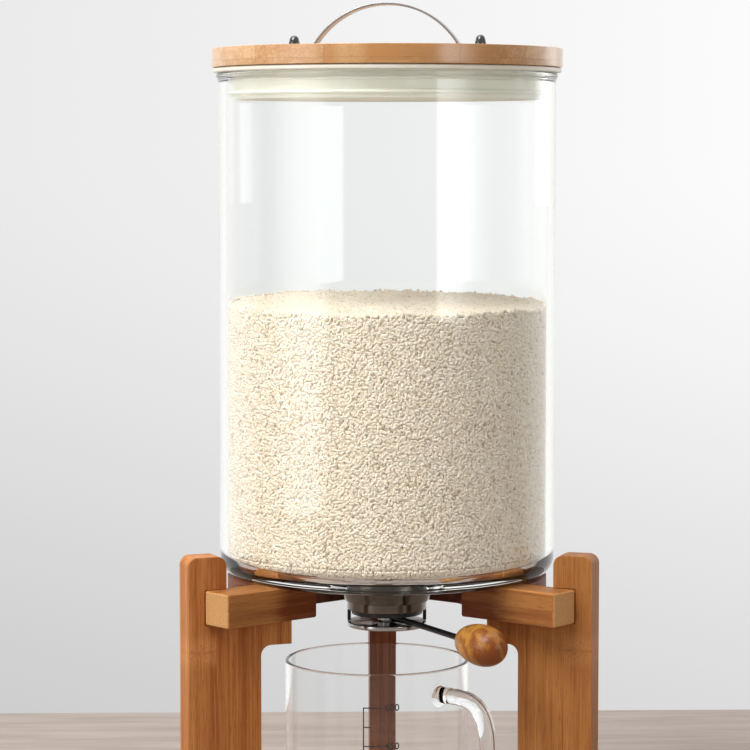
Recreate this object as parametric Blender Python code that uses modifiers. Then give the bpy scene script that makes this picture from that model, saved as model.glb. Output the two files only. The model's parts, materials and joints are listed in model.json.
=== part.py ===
"""Grain dispenser: a glass jar with a bamboo lid and a steel outlet, on a three-legged bamboo stand,
with a glass measuring cup under the outlet. Metres, +Z up, +Y towards the rear leg. The origin is on
the table, on the jar's axis."""

import math

import bmesh
import bpy
from mathutils import Matrix, Vector

MM = 0.001
GAP = 0.3 * MM  # between pieces that touch
NUDGE = 1.0 * MM  # how far a cutter passes the face it opens

# Jar, measured from the plane it stands on
JAR_BASE = 152.5 * MM
JAR_RADIUS = 90 * MM
JAR_HEIGHT = 268 * MM
JAR_WALL = 4 * MM
JAR_FLOOR = 6 * MM
JAR_CORNER = 10 * MM
JAR_HOLE = 22.5 * MM
GRAIN_HEIGHT = 147 * MM

# Lid
LID_RADIUS = 93.5 * MM
LID_THICKNESS = 10 * MM
LID_BOTTOM = JAR_BASE + 271 * MM
PLUG_RADIUS = 80 * MM
PLUG_DEPTH = 17 * MM
STRAP_WIDTH = 12 * MM
STRAP_THICKNESS = 1.2 * MM
STRAP_RISE = 23 * MM
STRAP_SPAN = 39 * MM
STRAP_SCREW_X = 50 * MM
STRAP_TURN = math.radians(-9)
DOME_HEIGHT = 5.6 * MM

# Outlet, heights below the jar's base
NECK_RADIUS = 21.5 * MM
BORE_RADIUS = 19.2 * MM
OUTLET_DEPTH = 20 * MM
DISC_RADIUS = 19 * MM
DISC_THICKNESS = 2 * MM
RING_TOP = 26.4 * MM
RING_BOTTOM = 29 * MM
POST_CIRCLE = 20.4 * MM
WINDOW_INNER = 8 * MM
WINDOW_OUTER = 17 * MM
WINDOW_ANGLE = math.radians(56)
PIVOT_RADIUS = 2.7 * MM

# Lever, heights below the jar's base
LEVER_AZIMUTH = math.radians(-57.5)
LEVER_RADIUS = 1.7 * MM
LEVER_DROP = 24.35 * MM
KNOB_RADIUS = 10.7 * MM
KNOB_LENGTH = 36 * MM
KNOB_REACH = 85 * MM
KNOB_DROP = 27.2 * MM

# Stand
BOARD = 15 * MM
LEG_WIDTH = 39.8 * MM
TAB_WIDTH = 20.9 * MM
TAB_RISE = 17 * MM
SHELF_REACH = 56.8 * MM
SHELF_DROP = 18.6 * MM
BRACKET_DROP = 31 * MM
BAR_LENGTH = 60 * MM
BAR_WIDTH = 19.2 * MM
BAR_HEIGHT = 18 * MM
BAR_ANGLE = math.radians(40)
BAR_CORNER = Vector((96.2 * MM, -61.2 * MM))
FRONT_LEG_ANGLE = math.radians(20)
FRONT_LEG_PLACE = Vector((107.2 * MM, -57.3 * MM))
REAR_LEG_REACH = 113.9 * MM
YOKE_NOTCH = 29.5 * MM
YOKE_ARM = 27 * MM
YOKE_REACH = 86 * MM
PAD_HEIGHT = 2 * MM
SCREW_SHANK = 1.6 * MM
SCREW_HEAD = 3.2 * MM
DOWEL_RADIUS = 3 * MM

# Measuring cup
CUP_X = -5.5 * MM
CUP_RADIUS = 49.5 * MM
CUP_HEIGHT = 105.5 * MM
CUP_WALL = 2 * MM
CUP_FLOOR = 3.5 * MM
CUP_HANDLE_AZIMUTH = math.radians(-48.7)
CUP_HANDLE_RADIUS = 4.5 * MM

BAMBOO = (0.60, 0.36, 0.17)
MATERIALS = {
    "bamboo": (BAMBOO, 0.45, 0.0),
    "bamboo_lid": ((0.72, 0.48, 0.25), 0.45, 0.0),
    "knob_wood": ((0.70, 0.42, 0.14), 0.22, 0.0),
    "dowel_wood": ((0.75, 0.60, 0.40), 0.6, 0.0),
    "glass": ((0.92, 0.96, 0.95), 0.03, 0.0),
    "grain": ((0.86, 0.80, 0.68), 0.7, 0.0),
    "steel": ((0.72, 0.72, 0.70), 0.18, 1.0),
    "black_steel": ((0.03, 0.03, 0.035), 0.35, 0.8),
    "screw_steel": ((0.55, 0.55, 0.55), 0.3, 1.0),
    "silicone": ((0.93, 0.93, 0.90), 0.5, 0.0),
    "felt": ((0.12, 0.10, 0.09), 0.95, 0.0),
}


def clear_scene():
    for obj in list(bpy.data.objects):
        bpy.data.objects.remove(obj)
    for collection in list(bpy.data.collections):
        bpy.data.collections.remove(collection)


def new_collection(name):
    collection = bpy.data.collections.new(name)
    bpy.context.scene.collection.children.link(collection)
    return collection


clear_scene()
PARTS = new_collection("grain_dispenser")
CUTTERS = new_collection("cutters")


def finish(obj, name, slot):
    """Puts an object in the parts collection under its node name, with its own material."""
    colour, roughness, metallic = MATERIALS[slot]
    material = bpy.data.materials.new(name)
    material.use_nodes = True
    shader = material.node_tree.nodes["Principled BSDF"]
    shader.inputs["Base Color"].default_value = (*colour, 1)
    shader.inputs["Roughness"].default_value = roughness
    shader.inputs["Metallic"].default_value = metallic
    obj.data.materials.clear()
    obj.data.materials.append(material)
    obj.name = name
    obj.data.name = name
    PARTS.objects.link(obj)
    return obj


def as_cutter(obj):
    obj.hide_render = True
    obj.display_type = "WIRE"
    CUTTERS.objects.link(obj)
    return obj


def boolean(obj, other, operation="DIFFERENCE"):
    modifier = obj.modifiers.new(operation.lower(), "BOOLEAN")
    modifier.operation = operation
    modifier.solver = "EXACT"
    modifier.object = other


def soften(obj, width, segments=1):
    modifier = obj.modifiers.new("softened edges", "BEVEL")
    modifier.width = width
    modifier.segments = segments
    modifier.limit_method = "ANGLE"
    modifier.angle_limit = math.radians(40)


def arc(centre, radius, start, end, count):
    """Points on an arc in a plane, from one angle to another in degrees, both ends included."""
    points = []
    for i in range(count + 1):
        angle = math.radians(start + (end - start) * i / count)
        points.append((centre[0] + radius * math.cos(angle), centre[1] + radius * math.sin(angle)))
    return points


def turned(profile, steps=48):
    """An object turned about Z from a closed profile of (radius, height), outer side downwards."""
    mesh = bpy.data.meshes.new("profile")
    edges = [(i, (i + 1) % len(profile)) for i in range(len(profile))]
    if profile[0][0] == 0 and profile[-1][0] == 0:
        edges.pop()
    mesh.from_pydata([(r, 0, z) for r, z in profile], edges, [])
    obj = bpy.data.objects.new("turned", mesh)
    screw = obj.modifiers.new("turn", "SCREW")
    screw.steps = screw.render_steps = steps
    screw.use_merge_vertices = True
    screw.merge_threshold = 1e-5
    screw.use_smooth_shade = True
    return obj


def mesh_of(obj):
    """The evaluated mesh of a helper object, welded, as a new object; the helper is removed."""
    bpy.context.scene.collection.objects.link(obj)
    graph = bpy.context.evaluated_depsgraph_get()
    mesh = bpy.data.meshes.new_from_object(obj.evaluated_get(graph))
    welded = bmesh.new()
    welded.from_mesh(mesh)
    bmesh.ops.remove_doubles(welded, verts=welded.verts, dist=1e-6)
    bmesh.ops.recalc_face_normals(welded, faces=welded.faces)
    welded.to_mesh(mesh)
    welded.free()
    made = bpy.data.objects.new("made", mesh)
    made.matrix_world = obj.matrix_world
    bpy.data.objects.remove(obj)
    return made


def plate(outline, thickness):
    """A flat outline in the XY plane, thickened about Z = 0."""
    curve = bpy.data.curves.new("outline", "CURVE")
    curve.dimensions = "2D"
    curve.fill_mode = "BOTH"
    curve.extrude = thickness / 2
    spline = curve.splines.new("POLY")
    spline.points.add(len(outline) - 1)
    for point, (x, y) in zip(spline.points, outline):
        point.co = (x, y, 0, 1)
    spline.use_cyclic_u = True
    return mesh_of(bpy.data.objects.new("outline", curve))


def rod(points, radius, resolution=3):
    """A round rod along a line of points, with filled ends."""
    curve = bpy.data.curves.new("rod", "CURVE")
    curve.dimensions = "3D"
    curve.bevel_depth = radius
    curve.bevel_resolution = resolution
    curve.use_fill_caps = True
    spline = curve.splines.new("POLY")
    spline.points.add(len(points) - 1)
    for point, place in zip(spline.points, points):
        point.co = (*place, 1)
    return mesh_of(bpy.data.objects.new("rod", curve))


def peg(start, end, radius, sides=12):
    """A plain cylinder between two points, also used for drilling."""
    start, end = Vector(start), Vector(end)
    mesh = bpy.data.meshes.new("peg")
    made = bmesh.new()
    length = (end - start).length
    bmesh.ops.create_cone(
        made, cap_ends=True, segments=sides, radius1=radius, radius2=radius, depth=length
    )
    made.to_mesh(mesh)
    made.free()
    turn = (end - start).to_track_quat("Z", "Y").to_matrix().to_4x4()
    mesh.transform(Matrix.Translation((start + end) / 2) @ turn)
    return bpy.data.objects.new("peg", mesh)


def drill(objects, start, end, radius, sides=12):
    hole = as_cutter(peg(start, end, radius, sides))
    for obj in objects:
        boolean(obj, hole)


def block(size, matrix):
    mesh = bpy.data.meshes.new("block")
    made = bmesh.new()
    bmesh.ops.create_cube(made, size=1)
    made.to_mesh(mesh)
    made.free()
    mesh.transform(matrix @ Matrix.Diagonal((*size, 1)))
    return bpy.data.objects.new("block", mesh)


def polar(radius, azimuth, height):
    return Vector((radius * math.cos(azimuth), radius * math.sin(azimuth), height))


def smooth_curved_faces(obj, degrees=40):
    obj.data.shade_smooth()
    obj.data.set_sharp_from_angle(angle=math.radians(degrees))


# ---------------------------------------------------------------- stand


def leg_outline():
    """The board's outline: distance inwards from its outer edge, and height."""
    foot = PAD_HEIGHT + GAP
    top = JAR_BASE + TAB_RISE
    shelf = JAR_BASE - SHELF_DROP
    bracket = JAR_BASE - BRACKET_DROP
    round_top = 5 * MM
    fillet = 5.5 * MM
    outline = [(0, foot), (LEG_WIDTH, foot)]
    outline += arc((LEG_WIDTH + fillet, bracket - fillet), fillet, 180, 90, 6)
    outline += [(SHELF_REACH, bracket), (SHELF_REACH, shelf), (TAB_WIDTH, shelf)]
    outline += arc((TAB_WIDTH - round_top, top - round_top), round_top, 0, 90, 6)
    outline += arc((round_top, top - round_top), round_top, 90, 180, 6)
    return outline


def leg_frame(place, angle):
    """Local X runs inwards along the board, local Y across it."""
    return Matrix.Translation((place[0], place[1], 0)) @ Matrix.Rotation(angle, 4, "Z")


LEGS = {
    "right": leg_frame(FRONT_LEG_PLACE, math.pi - FRONT_LEG_ANGLE),
    "left": leg_frame((-FRONT_LEG_PLACE.x, FRONT_LEG_PLACE.y), FRONT_LEG_ANGLE),
    "rear": leg_frame((0, REAR_LEG_REACH), -math.pi / 2),
}
LEG_NODES = {"right": "leg_front_right", "left": "leg_front_left", "rear": "leg_rear"}


def make_legs():
    legs = {}
    for side, frame in LEGS.items():
        leg = plate(leg_outline(), BOARD)
        leg.data.transform(Matrix.Rotation(math.pi / 2, 4, "X"))
        leg.matrix_world = frame
        soften(leg, 0.8 * MM)
        legs[side] = finish(leg, LEG_NODES[side], "bamboo")
    return legs


def make_foot_pads():
    for side, frame in LEGS.items():
        length = LEG_WIDTH - 5 * MM
        width = BOARD - 3.5 * MM
        pad = block((length, width, PAD_HEIGHT), Matrix.Translation((LEG_WIDTH / 2, 0, PAD_HEIGHT / 2)))
        pad.matrix_world = frame
        finish(pad, LEG_NODES[side].replace("leg", "foot_pad"), "felt")


SIDES = {"left": 1, "right": -1}


def bar_frame(side):
    """At the bar's outer rear corner, with local X along the bar inwards."""
    angle = BAR_ANGLE if side == "left" else math.pi - BAR_ANGLE
    place = (-SIDES[side] * BAR_CORNER.x, BAR_CORNER.y, JAR_BASE - GAP)
    return Matrix.Translation(place) @ Matrix.Rotation(angle, 4, "Z")


def make_rest_bars(legs):
    """Square bars that lie across the shelves, housed in the faces of the tabs."""
    bars = {}
    for side, turn in SIDES.items():
        centre = (BAR_LENGTH / 2, -turn * BAR_WIDTH / 2, -BAR_HEIGHT / 2)
        frame = bar_frame(side) @ Matrix.Translation(centre)
        bar = block((BAR_LENGTH, BAR_WIDTH, BAR_HEIGHT), frame)
        soften(bar, 0.8 * MM)
        bars[side] = finish(bar, "rest_bar_" + side, "bamboo")
        room = 2 * GAP
        housing = block((BAR_LENGTH + room, BAR_WIDTH + room, BAR_HEIGHT + room), frame)
        boolean(legs[side], as_cutter(housing))
    return bars


def yoke_outline():
    """A Y-shaped plate: two arms that meet the bars' rear faces, and a tongue over the rear shelf."""
    tongue = 13 * MM
    end = REAR_LEG_REACH - TAB_WIDTH - 2 * GAP
    across = Vector((math.sin(BAR_ANGLE), math.cos(BAR_ANGLE)))
    along = Vector((math.cos(BAR_ANGLE), -math.sin(BAR_ANGLE)))
    behind = BAR_CORNER + across * (GAP + 0.05 * MM)
    bar_inner = behind - along * (BAR_LENGTH - 0.6 * MM)
    bar_outer = behind - along * 27 * MM
    notch_end = across * YOKE_NOTCH + along * 25.5 * MM
    arm = YOKE_NOTCH + YOKE_ARM
    arm_end = math.degrees(-BAR_ANGLE + math.pi / 2 - math.acos(arm / YOKE_REACH))
    rim_start = math.degrees(math.atan2(bar_outer.y, bar_outer.x))
    shoulder = across * arm - along * ((across.x * arm - tongue) / along.x)
    degrees = math.degrees(math.atan2(across.y, across.x))
    half = arc((0, 0), YOKE_NOTCH, 90, degrees, 6)[1:]
    half += [notch_end, bar_inner, bar_outer]
    half += arc((0, 0), YOKE_REACH, rim_start + 1, arm_end, 6)
    half += [shoulder, (tongue, end)]
    half = [(p[0], p[1]) for p in half]
    return [(0, YOKE_NOTCH)] + half + [(-x, y) for x, y in reversed(half)]


def make_hub_plate():
    hub = plate(yoke_outline(), BAR_HEIGHT)
    hub.data.transform(Matrix.Translation((0, 0, JAR_BASE - GAP - BAR_HEIGHT / 2)))
    soften(hub, 0.8 * MM)
    return finish(hub, "hub_plate", "bamboo")


def wood_screw(name, head_at, tip_at):
    """A round-headed screw; head_at is under the head's bearing face."""
    head_at, tip_at = Vector(head_at), Vector(tip_at)
    length = (tip_at - head_at).length
    head = 2.2 * MM
    profile = [(0, length), (SCREW_SHANK * 0.5, length), (SCREW_SHANK, length - 2.5 * MM)]
    profile += [(SCREW_SHANK, 0), (SCREW_HEAD, 0), (SCREW_HEAD, -head * 0.5)]
    profile += [(SCREW_HEAD * 0.6, -head), (0, -head)]
    screw = turned(profile, 12)
    turn = (tip_at - head_at).to_track_quat("Z", "Y").to_matrix().to_4x4()
    screw.matrix_world = Matrix.Translation(head_at) @ turn
    return finish(screw, name, "screw_steel")


def fasten_legs(legs, bars, hub):
    """One screw up through each bracket, and one through each tab, with their holes."""
    held = {"left": bars["left"], "right": bars["right"], "rear": hub}
    hole = SCREW_SHANK + GAP
    sunk = 3 * MM
    for side, frame in LEGS.items():
        pair = [legs[side], held[side]]
        under = JAR_BASE - BRACKET_DROP
        at = frame @ Vector((49 * MM, 0, 0))
        head = Vector((at.x, at.y, under + sunk))
        tip = Vector((at.x, at.y, JAR_BASE - 8.5 * MM))
        drill(pair, head, tip + Vector((0, 0, GAP)), hole)
        drill([legs[side]], head - Vector((0, 0, sunk + NUDGE)), head, SCREW_HEAD + GAP)
        wood_screw("bracket_screw_" + side, head - Vector((0, 0, GAP)), tip)
        height = JAR_BASE - GAP - BAR_HEIGHT / 2
        if side == "rear":
            head = frame @ Vector((-GAP, 0, height))
            tip = frame @ Vector((TAB_WIDTH + 12 * MM, 0, height))
        else:
            across = BOARD / 2 + GAP
            outwards = across if side == "left" else -across
            depth = outwards * (-1 - 10 * MM / across)
            head = frame @ Vector((17.5 * MM, outwards, height))
            tip = frame @ Vector((17.5 * MM, depth, height))
        way = (tip - head).normalized()
        drill(pair, head - way * NUDGE, tip + way * GAP, hole)
        wood_screw("tab_screw_" + side, head, tip)


def make_dowels(bars, hub):
    """Two wooden dowels in each joint between a bar and the yoke."""
    for side, turn in SIDES.items():
        frame = bar_frame(side)
        for number, along in enumerate((33 * MM, 51 * MM), 1):
            middle = -BAR_HEIGHT / 2
            start = frame @ Vector((along, -9 * MM * turn, middle))
            end = frame @ Vector((along, 11 * MM * turn, middle))
            way = (end - start).normalized() * GAP
            drill([bars[side], hub], start - way, end + way, DOWEL_RADIUS + GAP)
            finish(peg(start, end, DOWEL_RADIUS), f"dowel_{side}_{number}", "dowel_wood")


def make_stand():
    legs = make_legs()
    bars = make_rest_bars(legs)
    hub = make_hub_plate()
    fasten_legs(legs, bars, hub)
    make_dowels(bars, hub)
    make_foot_pads()


# ---------------------------------------------------------------- jar


def make_glass_jar():
    """Straight wall, rounded bottom edge, thick floor with the outlet's hole, and a beaded rim."""
    top = JAR_BASE + JAR_HEIGHT
    inner = JAR_RADIUS - JAR_WALL
    floor = JAR_BASE + JAR_FLOOR
    inner_corner = 7 * MM
    bead = 1.2 * MM
    profile = [(inner, top - 1 * MM), (inner + 1 * MM, top), (JAR_RADIUS, top)]
    profile += [(JAR_RADIUS + bead, top - 1 * MM), (JAR_RADIUS + bead, top - 2.8 * MM)]
    profile += [(JAR_RADIUS, top - 4.4 * MM)]
    profile += arc((JAR_RADIUS - JAR_CORNER, JAR_BASE + JAR_CORNER), JAR_CORNER, 0, -90, 5)
    profile += [(JAR_HOLE, JAR_BASE), (JAR_HOLE, floor)]
    profile += arc((inner - inner_corner, floor + inner_corner), inner_corner, -90, 0, 4)
    finish(turned(profile, 72), "glass_jar", "glass")


def make_grain_fill():
    """The grain, as a solid that stops short of the glass and of the outlet's flange."""
    side = JAR_RADIUS - JAR_WALL - 2 * GAP
    floor = JAR_BASE + JAR_FLOOR + 2 * GAP
    top = JAR_BASE + GRAIN_HEIGHT
    profile = [(0, top - 2 * MM), (side * 0.6, top - 1 * MM), (side, top)]
    profile += arc((side - 7 * MM, floor + 7 * MM), 7 * MM, 0, -90, 4)
    profile += [(34 * MM, floor), (34 * MM, JAR_BASE + 11.8 * MM), (0, JAR_BASE + 11.8 * MM)]
    finish(turned(profile, 60), "grain_fill", "grain")


def window_cutter(azimuth, low, high):
    """A sector of a ring, which opens one window in a disc."""
    half = math.degrees(WINDOW_ANGLE / 2)
    middle = math.degrees(azimuth)
    outline = arc((0, 0), WINDOW_OUTER, middle - half, middle + half, 6)
    outline += arc((0, 0), WINDOW_INNER, middle + half, middle - half, 4)
    cutter = plate(outline, high - low)
    cutter.data.transform(Matrix.Translation((0, 0, (high + low) / 2)))
    return as_cutter(cutter)


def open_windows(obj, first, low, high):
    for turn in range(3):
        azimuth = first + turn * 2 * math.pi / 3
        boolean(obj, window_cutter(azimuth, low - NUDGE, high + NUDGE))


def make_outlet():
    """A steel tube with a flange inside the jar, a windowed floor, a flared nut and two gaskets."""
    flange_top = JAR_BASE + 10.5 * MM
    flange_low = JAR_BASE + 8.6 * MM
    low = JAR_BASE - OUTLET_DEPTH
    floor = low + 1.5 * MM
    bore = PIVOT_RADIUS + GAP
    profile = [(BORE_RADIUS, flange_top - 1 * MM), (BORE_RADIUS + 2 * MM, flange_top)]
    profile += [(32 * MM, flange_top), (32 * MM, flange_low), (NECK_RADIUS, flange_low)]
    profile += [(NECK_RADIUS, low + 0.6 * MM), (NECK_RADIUS - 0.6 * MM, low), (bore, low)]
    profile += [(bore, floor), (BORE_RADIUS, floor)]
    body = turned(profile, 48)
    open_windows(body, math.pi / 2, low, floor)
    finish(body, "outlet_body", "steel")

    nut_top = JAR_BASE - 1.9 * MM
    nut_low = JAR_BASE - 15 * MM
    nut_bore = NECK_RADIUS + GAP
    nut = [(nut_bore, nut_top), (27 * MM, nut_top), (27 * MM, nut_top - 3 * MM)]
    nut += [(25 * MM, JAR_BASE - 9 * MM), (22.6 * MM, nut_low), (nut_bore, nut_low)]
    finish(turned(nut, 48), "clamp_nut", "steel")
    ring(31 * MM, 23 * MM, JAR_BASE + JAR_FLOOR + GAP, flange_low - GAP, "gasket_inner", "silicone")
    ring(26.5 * MM, 23 * MM, nut_top + GAP, JAR_BASE - GAP, "gasket_outer", "silicone")


def ring(outer, inner, low, high, name, slot):
    profile = [(inner, high), (outer, high), (outer, low), (inner, low)]
    return finish(turned(profile, 48), name, slot)


def make_guard():
    """The windowed guard under the shutter, on three posts, with the pivot that goes through all."""
    high = JAR_BASE - RING_TOP
    low = JAR_BASE - RING_BOTTOM
    bore = PIVOT_RADIUS + GAP
    sunk = 5.4 * MM
    step = low + 1.7 * MM
    profile = [(bore, high), (NECK_RADIUS - 0.4 * MM, high), (NECK_RADIUS, high - 0.5 * MM)]
    profile += [(NECK_RADIUS, low + 0.5 * MM), (NECK_RADIUS - 0.4 * MM, low)]
    profile += [(sunk, low), (sunk, step), (bore, step)]
    guard = turned(profile, 48)
    open_windows(guard, math.pi / 2, low, high)
    finish(guard, "guard_ring", "steel")
    for name, degrees in (("right", 0), ("rear", 90), ("left", 180)):
        x = POST_CIRCLE * math.cos(math.radians(degrees))
        y = POST_CIRCLE * math.sin(math.radians(degrees))
        top = (x, y, JAR_BASE - OUTLET_DEPTH - GAP)
        post = peg(top, (x, y, high + GAP), 1.0 * MM, 10)
        finish(post, "guard_post_" + name, "steel")
    tip = JAR_BASE - 14.6 * MM
    head = step - GAP
    pin = [(0, tip), (PIVOT_RADIUS - 0.4 * MM, tip), (PIVOT_RADIUS, tip - 0.6 * MM)]
    pin += [(PIVOT_RADIUS, head), (5 * MM, head), (5 * MM, low + 0.3 * MM), (4.4 * MM, low), (0, low)]
    finish(turned(pin, 24), "pivot_pin", "screw_steel")
    floor = JAR_BASE - OUTLET_DEPTH + 1.5 * MM
    nut = peg((0, 0, floor + GAP), (0, 0, floor + 3.3 * MM), 5.6 * MM, 6)
    drill([nut], (0, 0, floor - NUDGE), (0, 0, floor + 5 * MM), bore, 24)
    finish(nut, "pivot_nut", "screw_steel")


def make_shutter():
    """The windowed disc, and the lever that turns it: a boss round the pivot, a rod and a knob."""
    high = JAR_BASE - OUTLET_DEPTH - GAP
    low = high - DISC_THICKNESS
    bore = PIVOT_RADIUS + GAP
    disc = turned([(bore, high), (DISC_RADIUS, high), (DISC_RADIUS, low), (bore, low)], 48)
    open_windows(disc, math.pi / 6, low, high)
    finish(disc, "shutter_disc", "black_steel")

    boss_low = JAR_BASE - RING_TOP + GAP
    knurl = 5 * MM
    boss = turned([(bore, low - GAP), (knurl, low - GAP), (knurl, boss_low), (bore, boss_low)], 32)
    level = JAR_BASE - LEVER_DROP
    drill(
        [boss],
        polar(1 * MM, LEVER_AZIMUTH, level),
        polar(7 * MM, LEVER_AZIMUTH, level),
        LEVER_RADIUS + 0.2 * MM,
    )
    finish(boss, "lever_boss", "screw_steel")

    knob_height = JAR_BASE - KNOB_DROP
    slope = (knob_height - level) / (KNOB_REACH - 22 * MM)
    points = [polar(3.6 * MM, LEVER_AZIMUTH, level), polar(20 * MM, LEVER_AZIMUTH, level)]
    for reach in (24 * MM, 78 * MM):
        points.append(polar(reach, LEVER_AZIMUTH, level + slope * (reach - 22 * MM)))
    lever = finish(rod(points, LEVER_RADIUS, 2), "lever_rod", "black_steel")
    smooth_curved_faces(lever)

    half = KNOB_LENGTH / 2
    hole = LEVER_RADIUS + GAP
    egg = []
    for i in range(13):
        angle = math.radians(90 - 15 * i)
        belly = 1 + 0.10 * math.sin(angle)
        egg.append((KNOB_RADIUS * math.cos(angle) * belly, half * math.sin(angle)))
    egg[0] = (0, half)
    egg = egg[:-1] + [(hole, -half + 0.35 * MM), (hole, -half + 13 * MM), (0, -half + 13 * MM)]
    knob = turned(egg, 32)
    way = Vector((math.cos(LEVER_AZIMUTH), math.sin(LEVER_AZIMUTH), slope)).normalized()
    turn = way.to_track_quat("Z", "Y").to_matrix().to_4x4()
    knob.matrix_world = Matrix.Translation(polar(KNOB_REACH, LEVER_AZIMUTH, knob_height)) @ turn
    finish(knob, "lever_knob", "knob_wood")


# ---------------------------------------------------------------- lid


def make_strap():
    """A thin flat strap, bent up into a round arch between two screwed feet."""
    top = LID_BOTTOM + LID_THICKNESS + GAP
    radius = (STRAP_SPAN**2 + STRAP_RISE**2) / (2 * STRAP_RISE)
    half = math.degrees(math.asin(STRAP_SPAN / radius))
    line = [(-STRAP_SCREW_X - 6 * MM, 0)]
    line += arc((0, STRAP_RISE - radius), radius, 90 + half, 90 - half, 20)
    line += [(STRAP_SCREW_X + 6 * MM, 0)]
    mesh = bpy.data.meshes.new("strap")
    made = bmesh.new()
    low = [made.verts.new((x, -STRAP_WIDTH / 2, top + z)) for x, z in line]
    edges = [made.edges.new(pair) for pair in zip(low, low[1:])]
    wide = bmesh.ops.extrude_edge_only(made, edges=edges)["geom"]
    moved = [item for item in wide if isinstance(item, bmesh.types.BMVert)]
    bmesh.ops.translate(made, verts=moved, vec=(0, STRAP_WIDTH, 0))
    bmesh.ops.recalc_face_normals(made, faces=made.faces)
    if sum(face.normal.z for face in made.faces) < 0:
        bmesh.ops.reverse_faces(made, faces=made.faces)
    made.to_mesh(mesh)
    made.free()
    strap = bpy.data.objects.new("strap", mesh)
    shell = strap.modifiers.new("thickness", "SOLIDIFY")
    shell.thickness = STRAP_THICKNESS
    shell.offset = 1
    finish(strap, "handle_strap", "steel")
    strap.rotation_euler.z = STRAP_TURN
    for reach in (-STRAP_SCREW_X, STRAP_SCREW_X):
        low, high = polar(reach, STRAP_TURN, top - NUDGE), polar(reach, STRAP_TURN, top + 3 * MM)
        drill([strap], low, high, 2.3 * MM)


def make_lid():
    low, high = LID_BOTTOM, LID_BOTTOM + LID_THICKNESS
    edge = 1.2 * MM
    disc = [(0, high), (LID_RADIUS - edge, high), (LID_RADIUS, high - edge)]
    disc += [(LID_RADIUS, low + edge), (LID_RADIUS - edge, low), (0, low)]
    disc = finish(turned(disc, 72), "lid_disc", "bamboo_lid")
    plug_high, plug_low = low - GAP, low - PLUG_DEPTH
    plug = [(0, plug_high), (PLUG_RADIUS, plug_high), (PLUG_RADIUS, plug_low + edge)]
    plug += [(PLUG_RADIUS - edge, plug_low), (0, plug_low)]
    plug = finish(turned(plug, 60), "lid_plug", "bamboo_lid")
    make_lid_seal(plug_high, plug_low)
    make_strap()
    strap_top = high + GAP + STRAP_THICKNESS
    for side, reach in (("left", -STRAP_SCREW_X), ("right", STRAP_SCREW_X)):
        tip = high - 17 * MM
        place = polar(reach, STRAP_TURN, 0)
        drill([disc, plug], place + Vector((0, 0, high + NUDGE)), place + Vector((0, 0, tip - GAP)), 2.2 * MM)
        round_top = DOME_HEIGHT - 2.6 * MM
        dome = arc((0, round_top), 2.6 * MM, 90, 0, 4)[1:]
        dome = [(0, DOME_HEIGHT)] + dome + [(3 * MM, 1.4 * MM), (3 * MM, 0)]
        dome = [(r, strap_top + GAP + z) for r, z in dome]
        dome += [(1.9 * MM, strap_top + GAP)]
        dome += [(1.9 * MM, tip + 1 * MM), (1 * MM, tip), (0, tip)]
        screw = turned(dome, 16)
        screw.location = place
        finish(screw, "handle_screw_" + side, "screw_steel")


def make_lid_seal(high, low):
    """A silicone sleeve round the plug: a flange over the jar's rim, and two lips inside the jar."""
    inner = PLUG_RADIUS + GAP
    body = PLUG_RADIUS + 2 * MM
    lip = JAR_RADIUS - JAR_WALL - GAP
    rim = JAR_BASE + JAR_HEIGHT + GAP
    flange = LID_RADIUS - 0.7 * MM
    profile = [(inner, high), (flange, high), (flange, rim)]
    profile += [(body, rim)]
    for height in (rim - 3.6 * MM, rim - 11 * MM):
        profile += [(body, height + 1.2 * MM), (lip, height + 0.4 * MM)]
        profile += [(lip, height - 0.4 * MM), (body, height - 1.2 * MM)]
    profile += [(body, low), (inner, low)]
    finish(turned(profile, 72), "lid_seal", "silicone")


# ---------------------------------------------------------------- measuring cup


def cup_handle_line():
    """The rod handle's centre line, as (distance from the cup's axis, height)."""
    reach = [47.6, 54, 60, 66, 71.5, 76.4, 80.3, 83, 84.8, 85.5, 85.2, 83.6, 80.6, 76, 70, 63, 55, 47.6]
    height = [91.7, 92.6, 93, 93, 92.2, 90.2, 86.8, 82, 76, 69, 61, 53, 45.5, 38.8, 33.6, 30.2, 28.6, 28.2]
    return [(r * MM, z * MM) for r, z in zip(reach, height)]


def make_cup():
    """A straight glass beaker and its rod handle, fused into one piece."""
    top = CUP_HEIGHT
    inner = CUP_RADIUS - CUP_WALL
    corner = 8 * MM
    inner_corner = 6 * MM
    profile = [(inner, top - 0.7 * MM), (inner + 0.7 * MM, top), (CUP_RADIUS - 0.7 * MM, top)]
    profile += [(CUP_RADIUS, top - 0.7 * MM)]
    profile += arc((CUP_RADIUS - corner, corner), corner, 0, -90, 4)
    profile += [(0, 0), (0, CUP_FLOOR)]
    profile += arc((inner - inner_corner, CUP_FLOOR + inner_corner), inner_corner, -90, 0, 3)
    cup = turned(profile, 64)
    cup.location.x = CUP_X
    line = [polar(r, CUP_HANDLE_AZIMUTH, z) for r, z in cup_handle_line()]
    handle = rod(line, CUP_HANDLE_RADIUS, 3)
    handle.location.x = CUP_X
    finish(cup, "measuring_cup", "glass")
    bore = as_cutter(peg((CUP_X, 0, CUP_FLOOR + 6 * MM), (CUP_X, 0, top - 6 * MM), inner + 0.9 * MM, 64))
    boolean(handle, bore)
    boolean(cup, as_cutter(handle), "UNION")


make_stand()
make_glass_jar()
make_grain_fill()
make_outlet()
make_guard()
make_shutter()
make_lid()
make_cup()
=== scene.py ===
"""The looks of the grain dispenser: bamboo boards, clear glass, loose rice, steel and silicone, built
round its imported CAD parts. Metres, +Z up, with the user on the -Y side."""

import json
import math
import random

import bmesh
import bpy
import numpy as np
from mathutils import Matrix, Vector, noise


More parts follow.
